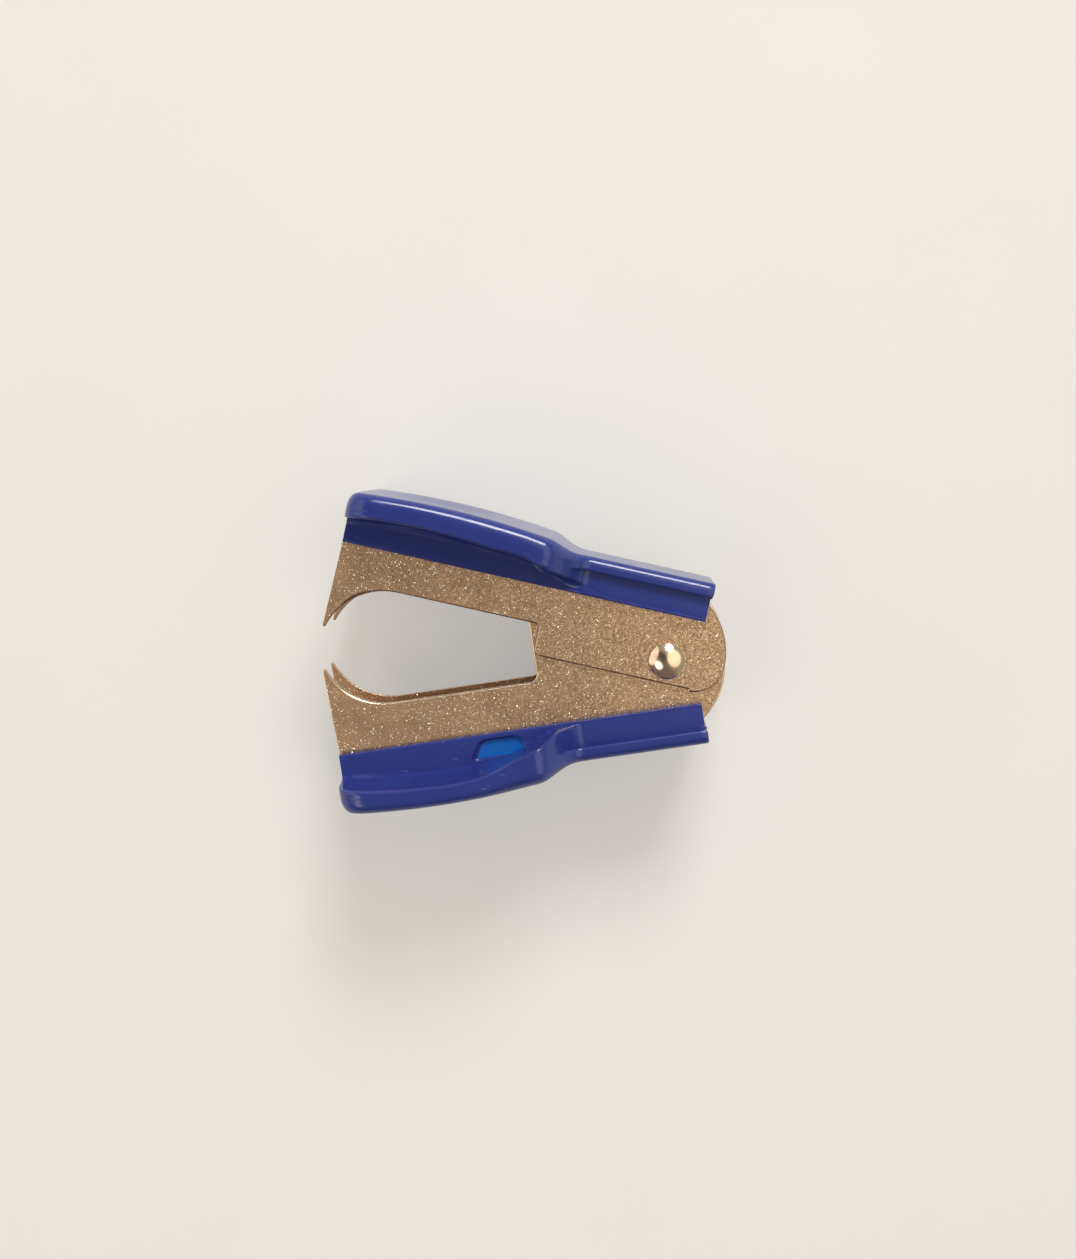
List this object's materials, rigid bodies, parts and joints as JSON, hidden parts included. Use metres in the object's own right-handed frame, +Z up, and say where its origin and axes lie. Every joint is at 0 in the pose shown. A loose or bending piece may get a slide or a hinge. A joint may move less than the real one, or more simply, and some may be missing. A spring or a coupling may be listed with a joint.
{
  "type": "staple remover",
  "caption": "Jaw-type staple remover: sprung sheet-steel jaws with curved claws, riveted together at the tail, under flared plastic finger grips.",
  "frame": {"origin": "middle of the length and of the height over the grips, on the surface that the wing rims lie on", "axes": "+X from the claws to the pivot end, +Y out through the outer jaw's back, +Z up along the rivet to its dome head"},
  "size_m": [0.0614, 0.0486, 0.0285],
  "materials": {
    "jaw_steel": "satin nickel plate with a fine grain",
    "rivet_steel": "polished",
    "spring_wire": "drawn wire",
    "blue_plastic": "moulded, glossy"
  },
  "bodies": {
    "upper_half": {"outer_jaw": "jaw_steel", "pivot_rivet": "rivet_steel", "torsion_spring": "spring_wire", "upper_grip": "blue_plastic"},
    "lower_half": {"inner_jaw": "jaw_steel", "lower_grip": "blue_plastic"}
  },
  "joints": [
    {"name": "jaw_pivot", "type": "hinge", "parent": "upper_half", "child": "lower_half", "pos_m": [0.02179, 0, 0.01425], "axis": [0, 0, -1], "range_deg": [0, 18], "stiffness_Nm_per_rad": 0.35, "springref_deg": -25.21, "deforming": ["torsion_spring"]}
  ]
}
